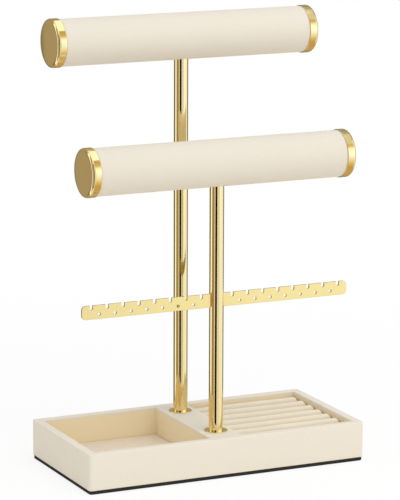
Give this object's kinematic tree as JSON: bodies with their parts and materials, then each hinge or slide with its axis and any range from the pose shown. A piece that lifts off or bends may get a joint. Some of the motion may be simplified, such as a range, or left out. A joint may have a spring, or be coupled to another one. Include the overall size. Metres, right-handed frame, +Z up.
{
  "type": "jewelry stand",
  "caption": "Free-standing jewellery stand: leather-wrapped open tray with ring rolls, gold posts with swivelling leather-covered T-bars, and a notched earring strip.",
  "frame": {"origin": "middle of the tray's footprint, on the surface that the stand rests on", "axes": "+X along the bars towards the ring rolls, -Y to the front, +Z up along the posts"},
  "size_m": [0.25, 0.123, 0.3747],
  "materials": {
    "cream_leather": "matt, fine grain",
    "lining_suede": "brushed, short nap",
    "ring_velvet": "short velvet pile over foam",
    "polished_gold": "mirror-polished plating",
    "black_pad": "matt foam rubber",
    "fibreboard": "raw board",
    "paper_tube": "wound paper",
    "zinc_steel": "zinc plated",
    "insert_brass": "turned"
  },
  "bodies": {
    "stand": {"base_pad": "black_pad", "base_board": "fibreboard", "front_wall_board": "fibreboard", "rear_wall_board": "fibreboard", "left_wall_board": "fibreboard", "right_wall_board": "fibreboard", "tray_wrap": "cream_leather", "platform_block": "fibreboard", "platform_cover": "cream_leather", "compartment_lining": "lining_suede", "ring_board": "fibreboard", "ring_roll_1": "ring_velvet", "ring_roll_2": "ring_velvet", "ring_roll_3": "ring_velvet", "ring_roll_4": "ring_velvet", "ring_roll_5": "ring_velvet", "ring_roll_6": "ring_velvet", "ring_roll_7": "ring_velvet", "rear_flange": "polished_gold", "rear_post": "polished_gold", "rear_foot_plug": "zinc_steel", "rear_top_plug": "zinc_steel", "rear_stud": "zinc_steel", "front_flange": "polished_gold", "front_post": "polished_gold", "front_foot_plug": "zinc_steel", "front_top_plug": "zinc_steel", "front_stud": "zinc_steel", "post_screws": "zinc_steel", "post_washers": "zinc_steel", "earring_strip": "polished_gold", "strip_screw": "polished_gold"},
    "upper_bar": {"upper_bar_core": "paper_tube", "upper_bar_wrap": "cream_leather", "upper_bar_cap_left": "polished_gold", "upper_bar_cap_right": "polished_gold", "upper_bar_block": "fibreboard", "upper_bar_insert": "insert_brass"},
    "lower_bar": {"lower_bar_core": "paper_tube", "lower_bar_wrap": "cream_leather", "lower_bar_cap_left": "polished_gold", "lower_bar_cap_right": "polished_gold", "lower_bar_block": "fibreboard", "lower_bar_insert": "insert_brass"}
  },
  "joints": [
    {"name": "upper_bar_swivel", "type": "hinge", "parent": "stand", "child": "upper_bar", "pos_m": [0, 0.035, 0.347], "axis": [0, 0, 1], "continuous": true},
    {"name": "lower_bar_swivel", "type": "hinge", "parent": "stand", "child": "lower_bar", "pos_m": [0, -0.035, 0.2515], "axis": [0, 0, 1], "range_deg": [-66, 66]}
  ]
}
